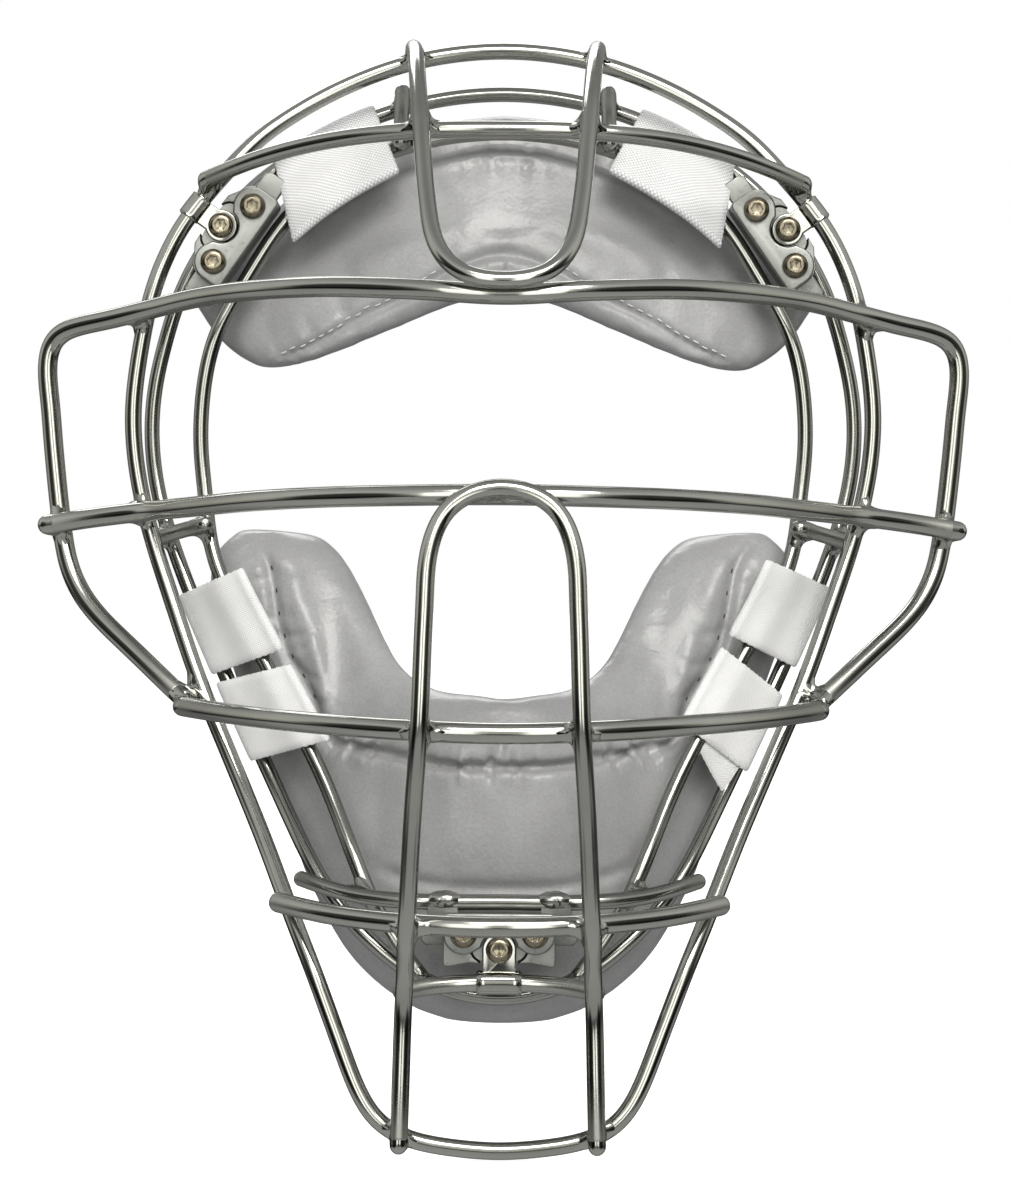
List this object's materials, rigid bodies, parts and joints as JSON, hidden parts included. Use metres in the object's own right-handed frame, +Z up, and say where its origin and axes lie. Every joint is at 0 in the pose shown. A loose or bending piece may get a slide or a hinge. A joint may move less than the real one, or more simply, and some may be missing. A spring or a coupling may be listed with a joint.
{
  "type": "catcher's mask",
  "caption": "Wire catcher's mask whose outer cage floats on three spring modules over a padded base frame with hook-and-loop straps.",
  "frame": {"origin": "where the wearer's eye line meets the face plane of the pads, in the plane of symmetry", "axes": "+X to the wearer's left, which is the right of a front view; +Y back towards the wearer; +Z up along the face"},
  "size_m": [0.2566, 0.142, 0.298],
  "materials": {
    "cage_wire": "polished dark pewter plating over round steel wire",
    "base_wire": "polished dark pewter plating over thinner round steel wire",
    "plate": "satin steel plate with a soft bevelled edge",
    "screw": "turned button heads with a hexagon socket, warm tint",
    "spring": "drawn spring wire",
    "pad": "grey synthetic leather with a satin sheen and soft wrinkles",
    "strap": "white hook-and-loop webbing with a fine mesh"
  },
  "bodies": {
    "base_frame": {"base_ring": "base_wire", "base_inner_ring": "base_wire", "base_chin_bar": "base_wire", "top_link_right": "base_wire", "top_link_left": "base_wire", "side_link_right": "base_wire", "side_link_left": "base_wire", "temple_right_plate": "plate", "temple_right_housing": "plate", "temple_right_plate_screw_a": "screw", "temple_right_plate_screw_b": "screw", "temple_right_spring": "spring", "temple_left_plate": "plate", "temple_left_housing": "plate", "temple_left_plate_screw_a": "screw", "temple_left_plate_screw_b": "screw", "temple_left_spring": "spring", "chin_plate": "plate", "chin_housing": "plate", "chin_plate_screw_a": "screw", "chin_plate_screw_b": "screw", "chin_spring": "spring", "forehead_pad": "pad", "chin_pad": "pad", "brow_strap_right": "strap", "brow_strap_left": "strap", "cheek_strap_upper_right": "strap", "cheek_strap_upper_left": "strap", "cheek_strap_lower_right": "strap", "cheek_strap_lower_left": "strap"},
    "outer_cage": {"outer_ring": "cage_wire", "brow_bar": "cage_wire", "eye_upper_bar": "cage_wire", "eye_lower_bar": "cage_wire", "mouth_bar": "cage_wire", "chin_bar": "cage_wire", "top_u_bar": "cage_wire", "nose_u_bar": "cage_wire", "throat_bar": "cage_wire", "temple_right_plunger": "plate", "temple_right_tab": "plate", "temple_right_centre_screw": "screw", "temple_left_plunger": "plate", "temple_left_tab": "plate", "temple_left_centre_screw": "screw", "chin_plunger": "plate", "chin_tab": "plate", "chin_centre_screw": "screw"}
  },
  "joints": [
    {"name": "cage_slide", "type": "slide", "parent": "base_frame", "child": "outer_cage", "axis": [0, 1, 0], "range_m": [0, 0.005], "stiffness_N_per_m": 6000, "springref_m": -0.002, "deforming": ["temple_right_spring", "temple_left_spring", "chin_spring"]}
  ]
}
